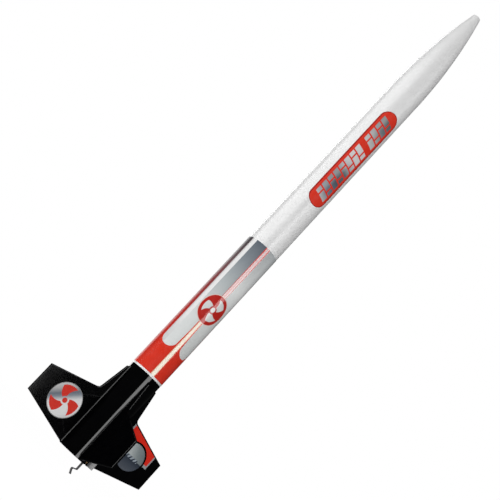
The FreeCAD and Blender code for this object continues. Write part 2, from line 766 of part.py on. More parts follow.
def make_nose_base_cap():
    """Cap that closes the shoulder: a plug, a flange, and an eyelet plate for the cord and the lines."""
    body = doc.addObject("PartDesign::Body", "NoseBaseCap")
    profile = flat_sketch(body, "CapProfile")
    flange_z = "tube_fore_z - nose_shoulder_long"
    polygon(profile, [
        ("0", flange_z + " - cap_flange_thick"),
        ("shoulder_r - ring_gap", flange_z + " - cap_flange_thick"),
        ("shoulder_r - ring_gap", flange_z),
        ("shoulder_r - nose_wall - ring_gap", flange_z),
        ("shoulder_r - nose_wall - ring_gap", flange_z + " + cap_plug_long"),
        ("0", flange_z + " + cap_plug_long"),
    ])
    revolved(body, profile, "CapDisc")

    plate = flat_sketch(body, "EyeletOutline", "YZ_Plane")
    half, slot_r, slot_half = size("eyelet_half_wide"), size("eyelet_slot_r"), size("eyelet_slot_half")
    root_z, mid_z = size(flange_z + " - cap_flange_thick"), eyelet_z()
    root = [Vector(side * half, z, 0) for side, z in ((1, mid_z), (1, root_z), (-1, root_z), (-1, mid_z))]
    lines = [plate.addGeometry(Part.LineSegment(root[k], root[k + 1])) for k in range(3)]
    bow_circle = Part.Circle(Vector(0, mid_z, 0), Z_AXIS, half)
    bow = plate.addGeometry(Part.ArcOfCircle(bow_circle, math.pi, 2 * math.pi))
    outline = lines + [bow]
    for k, piece in enumerate(outline):
        plate.addConstraint(Sketcher.Constraint("Coincident", piece, 2, outline[(k + 1) % len(outline)], 1))
    middle = flange_z + " - cap_flange_thick - eyelet_drop / 2"
    pin(plate, bow, 3, "0", middle)
    hold(plate, "Radius", "eyelet_half_wide", bow)
    pin(plate, lines[0], 1, None, middle)
    pin(plate, lines[2], 2, None, middle)
    pin(plate, lines[0], 2, None, flange_z + " - cap_flange_thick")
    for kind, line in (("Vertical", lines[0]), ("Horizontal", lines[1]), ("Vertical", lines[2])):
        plate.addConstraint(Sketcher.Constraint(kind, line))
    along = slot_half - slot_r
    right_circle = Part.Circle(Vector(along, mid_z, 0), Z_AXIS, slot_r)
    left_circle = Part.Circle(Vector(-along, mid_z, 0), Z_AXIS, slot_r)
    right = plate.addGeometry(Part.ArcOfCircle(right_circle, -math.pi / 2, math.pi / 2))
    left = plate.addGeometry(Part.ArcOfCircle(left_circle, math.pi / 2, 3 * math.pi / 2))
    top_z, low_z = mid_z + slot_r, mid_z - slot_r
    above = plate.addGeometry(Part.LineSegment(Vector(along, top_z, 0), Vector(-along, top_z, 0)))
    below = plate.addGeometry(Part.LineSegment(Vector(-along, low_z, 0), Vector(along, low_z, 0)))
    for first, second in ((right, above), (above, left), (left, below), (below, right)):
        plate.addConstraint(Sketcher.Constraint("Tangent", first, 2, second, 1))
    pin(plate, right, 3, "eyelet_slot_half - eyelet_slot_r", middle)
    pin(plate, left, 3, "eyelet_slot_r - eyelet_slot_half", middle)
    hold(plate, "Radius", "eyelet_slot_r", right)
    pad = body.newObject("PartDesign::Pad", "Eyelet")
    pad.Profile = plate
    pad.Midplane = True
    bind(pad, Length="eyelet_thick")
    return named(body, "nose_base_cap")


def make_nose_weight():
    """Tapered clay weight pressed into the tip of the nose."""
    slug = doc.addObject("Part::Cone", "ClayWeight")
    bind(slug, Radius1="weight_aft_r", Radius2="weight_fore_r", Height="weight_long")
    bind(slug, Placement__Base__z="weight_z")
    return named(slug, "nose_weight")


# ---------------------------------------------------------------- build and write

def check_and_write():
    """Stops on any failed object or bad shape, then writes one STEP file for each sub-part."""
    doc.recompute()
    for item in doc.Objects:
        if {"Invalid", "Error"} & set(item.State):
            raise RuntimeError(f"{item.Name} failed: {item.State}")
    for item in sub_parts:
        if item.Shape.isNull() or not item.Shape.isValid():
            raise RuntimeError(f"{item.Label} has a bad shape")
    os.makedirs("parts", exist_ok=True)
    for item in sub_parts:
        item.Shape.exportStep(f"parts/{item.Label}.step")
        print(f"{item.Label}: {len(item.Shape.Solids)} solid(s), {item.Shape.Volume:.1f} mm3")


make_body_tube()
make_tail_wrap()
named(pair("NamePanel", name_panel), "name_panels")
make_fin_unit()
named(pair("Emblem", emblem), "fin_emblem_stickers")
named(pair("RedPanel", red_panel), "fin_red_panels")
named(pair("GreyDisc", grey_disc), "fin_grey_discs")
make_launch_lug()
make_motor_tube()
make_motor_rings()
make_engine_hook()
make_shock_cord()
make_recovery_pack()
make_nose_cone()
make_nose_base_cap()
make_nose_weight()
check_and_write()
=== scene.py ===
import math
import random

import bmesh
import bpy
from mathutils import Matrix, Vector, noise


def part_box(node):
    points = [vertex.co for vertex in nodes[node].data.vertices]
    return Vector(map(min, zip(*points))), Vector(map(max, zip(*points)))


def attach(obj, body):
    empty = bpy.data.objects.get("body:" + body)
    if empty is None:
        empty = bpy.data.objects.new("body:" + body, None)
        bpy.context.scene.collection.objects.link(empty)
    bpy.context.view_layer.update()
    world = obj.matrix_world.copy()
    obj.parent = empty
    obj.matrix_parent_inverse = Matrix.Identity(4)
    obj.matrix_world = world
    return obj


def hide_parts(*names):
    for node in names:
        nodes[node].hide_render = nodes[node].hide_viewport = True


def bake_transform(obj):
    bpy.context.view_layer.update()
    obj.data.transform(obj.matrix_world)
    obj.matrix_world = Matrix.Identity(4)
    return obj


# A model rocket in a white studio. Lengths are in metres in the row frame: +Z runs to the nose, and the
# -Y side faces the camera's half of the room. Printed graphics are laid out in millimetres and degrees.

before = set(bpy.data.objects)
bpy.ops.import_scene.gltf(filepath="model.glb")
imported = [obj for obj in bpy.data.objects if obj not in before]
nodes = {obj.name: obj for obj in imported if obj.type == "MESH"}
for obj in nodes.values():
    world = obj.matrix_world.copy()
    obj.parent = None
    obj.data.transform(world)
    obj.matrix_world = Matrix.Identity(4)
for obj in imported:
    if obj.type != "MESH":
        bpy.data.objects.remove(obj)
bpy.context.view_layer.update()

MM = 0.001
TURN = 360.0
PER_DEGREE = math.tau / TURN


def corner_mm(node):
    """Lowest and highest corner of a CAD node, in millimetres."""
    low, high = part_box(node)
    return low / MM, high / MM


TUBE_R = corner_mm("body_tube")[1].x
WRAP_AFT, WRAP_FORE = (corner.z for corner in corner_mm("tail_wrap"))
ARC = TUBE_R * PER_DEGREE  # millimetres of tube surface in one degree


# ---------------------------------------------------------------- camera

VIEW_AZIMUTH = -25.116  # degrees round from the -Y side towards -X
VIEW_ELEVATION = -13.068  # a little below the rocket's middle
VIEW_ROLL = 47.069
VIEW_DISTANCE = 0.70375
VIEW_RIGHT = 0.02797  # how far AIM stands right of the picture's middle
VIEW_UP = 0.02145  # and above it
VIEW_LENS = 72.83  # millimetres
NEAREST = 0.01
AIM = Vector((0, 0, 0.215))


def make_camera():
    """A camera at the photograph's angle. The rocket leans in the picture because the camera is rolled."""
    a, e, roll = (math.radians(v) for v in (VIEW_AZIMUTH, VIEW_ELEVATION, VIEW_ROLL))
    back = Vector((math.sin(a) * math.cos(e), -math.cos(a) * math.cos(e), math.sin(e)))
    level = Vector((math.cos(a), math.sin(a), 0))
    upright = back.cross(level)
    right = math.cos(roll) * upright + math.sin(roll) * level
    up = back.cross(right)
    camera = bpy.data.objects.new("camera", bpy.data.cameras.new("camera"))
    bpy.context.scene.collection.objects.link(camera)
    place = AIM + back * VIEW_DISTANCE - right * VIEW_RIGHT - up * VIEW_UP
    axes = Matrix((right, up, back)).transposed().to_4x4()
    camera.matrix_world = Matrix.Translation(place) @ axes
    camera.data.lens = VIEW_LENS
    camera.data.clip_start = NEAREST
    bpy.context.scene.camera = camera


# ---------------------------------------------------------------- fields: numbers that vary over a surface

def screen(red, green, blue):
    """A screen's colour, 0 to 255 a channel, turned by the sRGB curve into a shader's numbers."""
    parts = []
    for v in (red / 255, green / 255, blue / 255):
        parts.append(v / 12.92 if v <= 0.04045 else ((v + 0.055) / 1.055) ** 2.4)
    return (*parts, 1.0)


def grey(value):
    return screen(value, value, value)


def feed(tree, socket, value):
    """Puts a field, a number or a colour into an input socket."""
    if isinstance(value, Field):
        tree.links.new(value.socket, socket)
    else:
        socket.default_value = value


class Field:
    """An output of a material's node tree, with arithmetic that adds nodes."""

    def __init__(self, tree, socket):
        self.tree = tree
        self.socket = socket

    def calc(self, operation, *others):
        node = self.tree.nodes.new("ShaderNodeMath")
        node.operation = operation
        for socket, value in zip(node.inputs, (self, *others)):
            feed(self.tree, socket, value)
        return Field(self.tree, node.outputs[0])

    def __add__(self, other):
        return self.calc("ADD", other)

    def __sub__(self, other):
        return self.calc("SUBTRACT", other)

    def __mul__(self, other):
        return self.calc("MULTIPLY", other)

    def __truediv__(self, other):
        return self.calc("DIVIDE", other)

    def __abs__(self):
        return self.calc("ABSOLUTE")

    def __invert__(self):
        """The rest of a mask: one minus it."""
        return self.calc("MULTIPLY", -1.0) + 1.0

    def sin(self):
        return self.calc("SINE")

    def most(self, other):
        return self.calc("MAXIMUM", other)

    def wrapped(self, low, high):
        return self.calc("WRAP", high, low)

    def above(self, edge, soft):
        """0 below the edge, 1 above it, with a soft step that wide."""
        node = self.tree.nodes.new("ShaderNodeMapRange")
        node.interpolation_type = "SMOOTHSTEP"
        feed(self.tree, node.inputs["Value"], self - edge if isinstance(edge, Field) else self)
        middle = 0.0 if isinstance(edge, Field) else edge
        node.inputs["From Min"].default_value = middle - soft / 2
        node.inputs["From Max"].default_value = middle + soft / 2
        return Field(self.tree, node.outputs["Result"])

    def below(self, edge, soft):
        return ~self.above(edge, soft)

    def within(self, low, high, soft):
        return self.above(low, soft) * self.below(high, soft)

    def ramp(self, stops):
        """Colour stops, each a position of this field and a colour."""
        node = self.tree.nodes.new("ShaderNodeValToRGB")
        first, last = stops[0][0], stops[-1][0]
        feed(self.tree, node.inputs["Fac"], (self - first) / (last - first))
        elements = node.color_ramp.elements
        while len(elements) < len(stops):
            elements.new(0.5)  # anywhere: the loop below puts it in its place
        for element, (position, paint) in zip(elements, stops):
            element.position = (position - first) / (last - first)
            element.color = paint
        return Field(self.tree, node.outputs["Color"])


def length_of(across, up):
    """Distance of a point from where both fields are zero."""
    return (across * across + up * up).calc("SQRT")


MIX_SHARE, MIX_BELOW, MIX_ABOVE = 0, 6, 7  # a Mix node's inputs when it mixes colours
MIX_RESULT = 2


def mixed(share, below, above):
    """below where share is 0, above where it is 1. Either is a colour or a colour field."""
    node = share.tree.nodes.new("ShaderNodeMix")
    node.data_type = "RGBA"
    feed(share.tree, node.inputs[MIX_SHARE], share)
    feed(share.tree, node.inputs[MIX_BELOW], below)
    feed(share.tree, node.inputs[MIX_ABOVE], above)
    return Field(share.tree, node.outputs[MIX_RESULT])


class Surface:
    """A material in the making. x, y and z are the object's own coordinates in millimetres, so that
    print rides with its part."""

    def __init__(self, name):
        self.material = bpy.data.materials.new(name)
        self.material.use_nodes = True
        self.tree = self.material.node_tree
        self.tree.nodes.clear()
        source = self.tree.nodes.new("ShaderNodeTexCoord")
        scale = self.tree.nodes.new("ShaderNodeVectorMath")
        scale.operation = "SCALE"
        scale.inputs["Scale"].default_value = 1 / MM
        self.tree.links.new(source.outputs["Object"], scale.inputs[0])
        self.point = Field(self.tree, scale.outputs[0])
        self.x, self.y, self.z = self.split(self.point)
        self.texture_uv = source.outputs["UV"]

    def split(self, vector):
        node = self.tree.nodes.new("ShaderNodeSeparateXYZ")
        feed(self.tree, node.inputs[0], vector)
        return tuple(Field(self.tree, node.outputs[k]) for k in range(3))

    def joined(self, *parts):
        node = self.tree.nodes.new("ShaderNodeCombineXYZ")
        for socket, value in zip(node.inputs, parts):
            feed(self.tree, socket, value)
        return Field(self.tree, node.outputs[0])

    def uv(self):
        return self.split(Field(self.tree, self.texture_uv))[:2]

    def azimuth(self):
        """Degrees round the rocket's axis, -180 to 180."""
        return self.y.calc("ARCTAN2", self.x) / PER_DEGREE

    def grain(self, size, detail=2.0, where=None):
        """Cloudy noise from 0 to 1, with lumps of about that size in millimetres."""
        node = self.tree.nodes.new("ShaderNodeTexNoise")
        feed(self.tree, node.inputs["Vector"], where or self.point)
        node.inputs["Scale"].default_value = 1 / size
        node.inputs["Detail"].default_value = detail
        return Field(self.tree, node.outputs["Fac"])

    def spiral(self, lead, half_wide, soft):
        """A mask of the line where a wound strip's edges meet. lead is its rise in a turn, in
        millimetres. The line's half width and softness are shares of a turn."""
        turns = self.z / lead - self.azimuth() / TURN
        return abs(turns.wrapped(-0.5, 0.5)).below(half_wide, soft)

    def finish(self, base, roughness, relief=None, **constants):
        """Ends the material. relief is a height in millimetres, and constants are the shader's own
        sockets."""
        shader = self.tree.nodes.new("ShaderNodeBsdfPrincipled")
        output = self.tree.nodes.new("ShaderNodeOutputMaterial")
        feed(self.tree, shader.inputs["Base Color"], base)
        feed(self.tree, shader.inputs["Roughness"], roughness)
        for name, value in constants.items():
            shader.inputs[name.replace("_", " ")].default_value = value
        if relief is not None:
            bump = self.tree.nodes.new("ShaderNodeBump")
            bump.inputs["Distance"].default_value = MM
            feed(self.tree, bump.inputs["Height"], relief)
            self.tree.links.new(bump.outputs["Normal"], shader.inputs["Normal"])
        self.tree.links.new(shader.outputs[0], output.inputs[0])
        return self.material


# ---------------------------------------------------------------- paper, plastic and metal

WHITE = grey(240)


def gloss_white_paper():
    """Coated white tube: a faint spiral seam, and a coating that is not quite even."""
    s = Surface("gloss_white_paper")
    seam = s.spiral(lead=46.0, half_wide=0.004, soft=0.006)
    cloud = s.grain(9.0)
    base = mixed(cloud, grey(237), grey(242))
    base = mixed(seam * 0.25, base, grey(215))
    return s.finish(base, cloud * 0.04 + 0.29, s.grain(6.0) * 0.003 - seam * 0.012)


def gloss_white_plastic():
    """Blown plastic nose: two hairline mould seams, and a slightly wavy skin."""
    s = Surface("gloss_white_plastic")
    seam = abs(s.x).below(0.12, 0.12) * length_of(s.x, s.y).above(2.0, 1.0)
    cloud = s.grain(14.0)
    base = mixed(cloud, grey(238), grey(242))
    base = mixed(seam * 0.12, base, grey(205))
    return s.finish(base, cloud * 0.04 + 0.27, s.grain(8.0) * 0.003 + seam * 0.01)


def gloss_black_plastic():
    """Moulded black fin unit: polished, with a very fine ripple."""
    s = Surface("gloss_black_plastic")
    cloud = s.grain(6.0, 4.0)
    base = mixed(cloud, screen(1, 1, 2), screen(6, 6, 7))
    return s.finish(base, cloud * 0.03 + 0.06, s.grain(4.0) * 0.0012, Specular_IOR_Level=0.46)


def lug_paper():
    """Grey-white rolled paper with a matt, slightly fuzzy face."""
    s = Surface("lug_paper")
    fibre = s.grain(0.5, 4.0)
    seam = s.spiral(lead=12.0, half_wide=0.02, soft=0.02)
    base = mixed(fibre, grey(176), grey(205))
    base = mixed(seam * 0.4, base, grey(150))
    return s.finish(base, fibre * 0.2 + 0.5, fibre * 0.02 - seam * 0.03)


def kraft_paper():
    """Brown paper tube and card rings: fibres, flecks and spiral plies."""
    s = Surface("kraft_paper")
    fibre = s.grain(0.35, 5.0, s.joined(s.x, s.y, s.z * 0.35))
    fleck = s.grain(0.9).above(0.66, 0.05)
    ply = s.spiral(lead=28.0, half_wide=0.008, soft=0.008)
    base = mixed(fibre, screen(150, 112, 72), screen(205, 170, 122))
    base = mixed(fleck * 0.5, base, screen(105, 76, 48))
    base = mixed(ply * 0.6, base, screen(120, 88, 56))
    return s.finish(base, fibre * 0.2 + 0.65, fibre * 0.04 - ply * 0.06)


def spring_steel():
    """Strip steel with a faint blue tint, brushed along its run."""
    s = Surface("spring_steel")
    brush = s.grain(0.25, 4.0, s.joined(s.x * 2.0, s.y * 2.0, s.z * 0.12))
    base = mixed(brush, grey(104), grey(150))
    base = mixed(s.grain(4.0) * 0.35, base, screen(100, 100, 112))
    return s.finish(base, brush * 0.2 + 0.28, brush * 0.008, Metallic=0.25)


def ballast_clay():
    """Grey modelling clay, thumbed into place."""
    s = Surface("ballast_clay")
    dents = s.grain(2.6, 3.0)
    base = mixed(dents, screen(88, 84, 78), screen(122, 117, 108))
    return s.finish(base, dents * 0.15 + 0.7, dents * 0.5)


def white_tape():
    """Slightly crinkled plastic tape."""
    s = Surface("white_tape")
    crinkle = s.grain(1.1, 3.0)
    base = mixed(crinkle, grey(215), grey(240))
    return s.finish(base, crinkle * 0.2 + 0.35, crinkle * 0.06)


# ---------------------------------------------------------------- printed film
# Widths round the tube are in degrees, heights on it in millimetres from the frame's origin.

RED = screen(234, 50, 26)
DEEP_RED = screen(196, 28, 16)
CREAM = screen(255, 246, 224)
FOLD = 90.0  # a print's half of the tube ends this far from its middle, and the other half repeats it
BLADES = 3.0


def printed_film(s, paint, lumps, roughness, dust=0.0):
    """Ends a print on thin film: a cloudy polish, a little pale dust, and fine orange peel."""
    cloud = s.grain(lumps)
    if dust:
        paint = mixed(cloud * dust, paint, WHITE)
    return s.finish(paint, cloud * 0.06 + roughness, s.grain(2.2, 3.0) * 0.005)


def pinwheel(across, up, twist, hub):
    """A mask of curved blades round a hub. across and up run from -1 to 1 over the mark, and twist is
    how far a blade turns on its way out, in radians of its wave."""
    reach = length_of(across, up)
    wave = (up.calc("ARCTAN2", across) * BLADES + reach * twist).sin()
    return (wave.above(0.0, 0.16) * reach.above(hub, 0.05)).most(reach.below(hub * 0.62, 0.05))


BEAM_AZIMUTH = -101.3
BEAM_WIDE, BEAM_NARROW = 7.6, 5.0  # the beam's half width at the wrap's aft edge, and at its waist
BEAM_WAIST_Z = 118.0
BEAM_SOFT = 2.4
BEAM_FLARE = 1.2  # it widens by this much past the mark
BEAM_TAPER = 0.055  # and then narrows by this much a millimetre

POD_INNER, POD_OUTER = 10.5, 64.8  # a pod's edges, to each side of the beam
POD_AFT = 91.4
POD_MIDDLE = (POD_INNER + POD_OUTER) / 2
POD_HALF = (POD_OUTER - POD_INNER) / 2 * ARC  # millimetres: half its width, and its round end's radius
POD_SHOULDER = POD_AFT + POD_HALF
POD_SPREAD = 3.6  # how far the inner edge moves in past the shoulder
POD_SPREAD_LONG = 9.0
POD_INNERMOST = 7.4
POD_CREASE = 46.5  # the left pod turns from dark to light here
# The painted highlight band on the left pod ends this far from the beam.
GLINT_OUTER = 60.0

MARK_AZIMUTH = -99.7
MARK_Z = 129.1
MARK_HALF_TALL, MARK_HALF_WIDE = 11.5, 9.8
MARK_FORE = MARK_Z + MARK_HALF_TALL

DUSK_Z, DUSK_LONG = 165.0, 40.0  # where the print darkens towards the nose

# The ground outside the pods, and the dark and light faces of the pods, from aft to fore.
GROUND = (
    (WRAP_AFT, RED),
    (104.0, screen(210, 44, 32)),
    (124.0, screen(190, 46, 42)),
    (145.0, screen(150, 62, 64)),
    (165.0, screen(116, 92, 96)),
    (WRAP_FORE, screen(78, 76, 80)),
)
DARK_FACE = (
    (POD_AFT, screen(238, 241, 240)),
    (118.0, screen(234, 238, 237)),
    (130.0, screen(222, 226, 226)),
    (150.0, screen(190, 197, 199)),
    (170.0, screen(140, 148, 156)),
    (WRAP_FORE, screen(100, 109, 120)),
)
LIGHT_FACE = (
    (POD_AFT, screen(226, 229, 228)),
    (125.0, screen(232, 235, 234)),
    (150.0, screen(248, 250, 249)),
    (WRAP_FORE, screen(196, 201, 203)),
)


def pod_mask(off_beam, z):
    """A long pod on each side of the beam, round at its aft end. Past the round its inner edge moves
    in towards the beam."""
    behind = (z * -1.0 + POD_SHOULDER).most(0.0)
    ahead = (z - POD_SHOULDER).most(0.0)
    pod = length_of((off_beam - POD_MIDDLE) * ARC, behind).below(POD_HALF, 0.35)
    inner_edge = (ahead / -POD_SPREAD_LONG).calc("EXPONENT") * POD_SPREAD + POD_INNERMOST
    spread = off_beam.above(inner_edge, 0.9) * off_beam.below(POD_MIDDLE, 1.0)
    return pod.most(spread * z.above(POD_SHOULDER, 1.0))


def pod_paint(across, off_beam, z, dusk):
    """Silver. The left pod darkens forwards inside its crease and has a painted highlight band outside it;
    the right one stays light but for painted shade near the beam.
    """
    outside = mixed(off_beam.above(POD_CREASE, 1.2), z.ramp(DARK_FACE), grey(226))
    # Painted highlight: a near-white band on the left pod, just outside its crease.
    glint = off_beam.within(POD_CREASE, GLINT_OUTER, 1.6) * z.above(108.0, 30.0)
    left = mixed(glint, outside, grey(254))
    # Painted shade: the right pod turns greyer near the beam, towards the nose.
    shade = off_beam.below(24.0, 18.0) * dusk * 0.25
    right = mixed(shade, z.ramp(LIGHT_FACE), grey(150))
    return mixed(across.above(0.0, 0.5), left, right)


def with_beam(paint, across, off_beam, z, dusk):
    """Lays the bright beam over the paint: warm up to the mark, and rose between pale edges past it."""
    waist = z.above((WRAP_AFT + BEAM_WAIST_Z) / 2, (BEAM_WAIST_Z - WRAP_AFT) * 1.2)
    half = waist * (BEAM_NARROW - BEAM_WIDE) + BEAM_WIDE
    past_mark = z.above(MARK_FORE, 2.0)
    taper = (z - MARK_FORE).most(0.0) * BEAM_TAPER
    beam = off_beam.below(half + past_mark * BEAM_FLARE - taper, BEAM_SOFT)
    warm = mixed((off_beam / half).above(0.7, 0.7), CREAM, screen(255, 205, 172))
    rose = mixed(dusk, screen(250, 186, 184), screen(214, 178, 182))
    cool = mixed(across.within(-3.4, 3.0, 2.6), grey(238), rose)
    return mixed(beam, paint, mixed(past_mark, warm, cool))


def with_mark(paint, across, z):
    """Lays the round mark over the paint: a pale pinwheel in a red ring with a pale rim."""
    sideways = (across - (MARK_AZIMUTH - BEAM_AZIMUTH)) * (ARC / MARK_HALF_WIDE)
    up = (z - MARK_Z) / MARK_HALF_TALL
    reach = length_of(sideways, up)
    blades = pinwheel(sideways, up, -2.6, 0.26) * reach.below(0.74, 0.04)
    inside = mixed(blades, DEEP_RED, screen(232, 234, 232))
    inside = mixed(reach.above(0.78, 0.03), inside, DEEP_RED)
    inside = mixed(reach.above(0.96, 0.03), inside, screen(240, 215, 205))
    return mixed(reach.below(1.0, 0.03), paint, inside)


def printed_wrap():
    """Tail wrap: red, with a bright beam, silver pods on each side of it and a round mark."""
    s = Surface("printed_wrap")
    across = (s.azimuth() - BEAM_AZIMUTH).wrapped(-FOLD, FOLD)
    off_beam = abs(across)
    dusk = s.z.above(DUSK_Z, DUSK_LONG)
    ground = mixed(off_beam.below(POD_OUTER, 1.0), s.z.ramp(GROUND), RED)
    paint = mixed(pod_mask(off_beam, s.z), ground, pod_paint(across, off_beam, s.z, dusk))
    paint = with_beam(paint, across, off_beam, s.z, dusk)
    paint = with_mark(paint, across, s.z)
    return printed_film(s, paint, lumps=7.0, roughness=0.12, dust=0.03)


PANEL_AFT, PANEL_FORE = (corner.z for corner in corner_mm("name_panels"))
PANEL_MIDDLE = (PANEL_AFT + PANEL_FORE) / 2
PANEL_HALF_LONG = (PANEL_FORE - PANEL_AFT) / 2
PANEL_HALF_WIDE = 7.37
PANEL_AZIMUTH = -95.5
BAR_ROWS = ((237.6, 285.2, 8), (289.6, 313.8, 4))  # start, end and count of each run of bars
BAR_LEAN = 0.22
BAR_HALF_TALL = 5.0
BAR_CUT = 1.7  # each bar is cut in two this far above or below its middle, by turns
BAR_GAP = 1.1
BAR_METAL = (
    (237.0, grey(205)),
    (244.0, screen(118, 130, 146)),
    (254.0, screen(84, 96, 106)),
    (262.0, screen(98, 112, 118)),
    (268.0, screen(186, 190, 194)),
    (275.0, grey(226)),
    (285.0, grey(220)),
    (290.0, grey(206)),
    (297.0, grey(176)),
    (304.0, screen(118, 126, 132)),
    (314.0, screen(86, 102, 104)),
)


def leaning_bars(across, along):
    """A mask of the bars. across and along are in millimetres, and along runs up the tube."""
    leaning = along + across * BAR_LEAN
    bars = None
    for start, stop, count in BAR_ROWS:
        step = (leaning - start) / ((stop - start) / count)
        odd = (step.calc("FLOOR") * 0.5).calc("FRACT").above(0.25, 0.01)
        cut = across - odd * (2 * BAR_CUT) + BAR_CUT
        bar = step.wrapped(0.0, 1.0).within(0.10, 0.90, 0.08)
        bar = bar * abs(cut).above(BAR_GAP / 2, 0.4) * leaning.within(start, stop, 0.3)
        bars = bar if bars is None else bars.most(bar)
    return bars * abs(across).below(BAR_HALF_TALL, 0.4)


def name_panel():
    """Red capsule with a darker edge and two runs of plain leaning metal bars, paler along a painted
    highlight.
    """
    s = Surface("name_panel")
    across = (s.azimuth() - PANEL_AZIMUTH).wrapped(-FOLD, FOLD) * ARC
    run_out = (abs(s.z - PANEL_MIDDLE) - (PANEL_HALF_LONG - PANEL_HALF_WIDE)).most(0.0)
    to_edge = length_of(across, run_out) * -1.0 + PANEL_HALF_WIDE
    # Painted highlight: the bars are paler in a band along the panel, to one side of its middle.
    sheen = across.within(-6.0, -1.0, 5.0) * 0.35
    metal = mixed(sheen, s.z.ramp(BAR_METAL), grey(235))
    paint = mixed(to_edge.below(0.55, 0.4), RED, screen(176, 26, 16))
    paint = mixed(leaning_bars(across, s.z), paint, metal)
    return printed_film(s, paint, lumps=6.0, roughness=0.12, dust=0.03)


def fin_across(s):
    """Millimetres to the right of the axis, for someone who looks straight at the X fins' faces from
    either side."""
    side = s.y.above(0.0, 0.1) * 2.0 - 1.0
    return s.x * side * -1.0


def disc_frame(s, node, fin_side):
    """Coordinates on a round sticker, -1 to 1 from its centre. fin_side is -1 for a sticker on the left
    fin, and 1 for one on the right fin."""
    low, high = corner_mm(node)
    radius = (high.z - low.z) / 2
    centre = abs(low.x) - radius
    across = (fin_across(s) - fin_side * centre) / radius
    return across, (s.z - (high.z + low.z) / 2) / radius


def fin_emblem():
    """Round sticker: red pinwheel on a ground that shades like polished metal."""
    s = Surface("fin_emblem")
    across, up = disc_frame(s, "fin_emblem_stickers", -1)
    ground = (across * 0.68 - up * 0.73).ramp([
        (-1.0, grey(228)),
        (-0.72, grey(200)),
        (-0.42, screen(120, 128, 140)),
        (-0.26, screen(148, 157, 168)),
        (0.0, grey(244)),
        (0.3, grey(254)),
        (0.72, grey(250)),
        (1.0, grey(232)),
    ])
    reach = length_of(across, up)
    blades = pinwheel(across, up, 2.6, 0.24) * reach.below(0.86, 0.03)
    paint = mixed(blades, ground, screen(236, 62, 50))
    paint = mixed(reach.above(0.965, 0.02), paint, grey(150))
    return printed_film(s, paint, lumps=5.0, roughness=0.16)


def fin_grey_disc():
    """Round sticker shaded like a chrome ball: light above its horizon, dark below, with short dashes
    along it."""
    s = Surface("fin_grey_disc")
    across, up = disc_frame(s, "fin_grey_discs", 1)
    sky = (across + up * 0.5).ramp([
        (-1.0, screen(226, 232, 232)),
        (-0.2, screen(200, 208, 208)),
        (0.5, screen(146, 156, 158)),
        (1.2, screen(116, 126, 130)),
    ])
    ground = up.ramp([
        (-1.0, screen(96, 102, 112)),
        (-0.35, screen(70, 78, 90)),
        (-0.05, screen(48, 56, 68)),
    ])
    paint = mixed(up.above(-0.02, 0.1), ground, sky)
    band = up.within(-0.13, 0.09, 0.05) * across.within(-0.62, 0.62, 0.05)
    dash = ((across - up * 0.6) * 3.6).wrapped(0.0, 1.0).within(0.22, 0.78, 0.12)
    paint = mixed(band * 0.85, paint, screen(40, 52, 70))
    paint = mixed(band * dash * 0.8, paint, screen(188, 200, 210))
    return printed_film(s, paint, lumps=5.0, roughness=0.16)


RED_PANEL_INNER, RED_PANEL_OUTER = 20.0, 46.0
RED_PANEL_BORDER = 1.9


def fin_red_panel():
    """Red sticker inside a narrow grey border."""
    s = Surface("fin_red_panel")
    foot = corner_mm("fin_red_panels")[0].z
    inside = fin_across(s).within(RED_PANEL_INNER, RED_PANEL_OUTER, 0.5)
    inside = inside * s.z.above(foot + RED_PANEL_BORDER, 0.5)
    paint = mixed(inside, screen(160, 162, 164), screen(240, 40, 18))
    return printed_film(s, paint, lumps=5.0, roughness=0.16, dust=0.02)


# ---------------------------------------------------------------- soft goods

def canopy_film():
    """Thin plastic film with fine creases, painted darker red along them as shade."""
    s = Surface("canopy_film")
    cloud = s.grain(3.2, 3.0, s.joined(s.x, s.y, s.z * 0.6))
    crease = abs(cloud - 0.5).above(0.05, 0.09)
    # Painted shade: the film is darker red along its crease lines.
    base = mixed(crease, screen(196, 40, 24), screen(238, 84, 50))
    return s.finish(base, crease * 0.2 + 0.25, crease * 0.18 + cloud * 0.3, Sheen_Weight=0.1)


def twisted_thread():
    """Cotton line: two plies that wind round each other, once in 0.9 mm."""
    s = Surface("twisted_thread")
    around, along = s.uv()
    ply = ((along / 0.9 + around) * math.tau).sin()
    fuzz = s.grain(0.15, 3.0)
    # Painted shade: the line is darker in the grooves between its plies.
    base = mixed(ply * 0.5 + 0.5, screen(196, 192, 182), screen(246, 244, 238))
    return s.finish(base, fuzz * 0.1 + 0.8, ply * 0.05 + fuzz * 0.03)


def braided_elastic():
    """Round elastic in a woven jacket: two sets of three strands that cross."""
    s = Surface("braided_elastic")
    around, along = s.uv()
    one = ((along / 1.3 + around * 3.0) * math.tau).sin()
    other = ((along / 1.3 - around * 3.0) * math.tau).sin()
    weave = one * other
    fuzz = s.grain(0.2, 3.0)
    # Painted shade: the jacket is darker in the hollows of its weave.
    base = mixed(weave * 0.5 + 0.5, screen(190, 186, 172), screen(240, 238, 228))
    return s.finish(base, fuzz * 0.1 + 0.75, weave * 0.06 + fuzz * 0.03, Sheen_Weight=0.2)


def new_piece(name, verts, faces, material, uvs=None):
    """A smooth-shaded mesh object. uvs holds one pair for each vertex."""
    mesh = bpy.data.meshes.new(name)
    mesh.from_pydata([tuple(v) for v in verts], [], faces)
    mesh.validate()
    if uvs is not None:
        layer = mesh.uv_layers.new(name="along")
        for loop in mesh.loops:
            layer.data[loop.index].uv = uvs[loop.vertex_index]
    for polygon in mesh.polygons:
        polygon.use_smooth = True
    mesh.materials.append(material)
    piece = bpy.data.objects.new(name, mesh)
    bpy.context.scene.collection.objects.link(piece)
    return piece


def on_circle(radius, angle, z=0.0):
    return Vector((radius * math.cos(angle), radius * math.sin(angle), z))


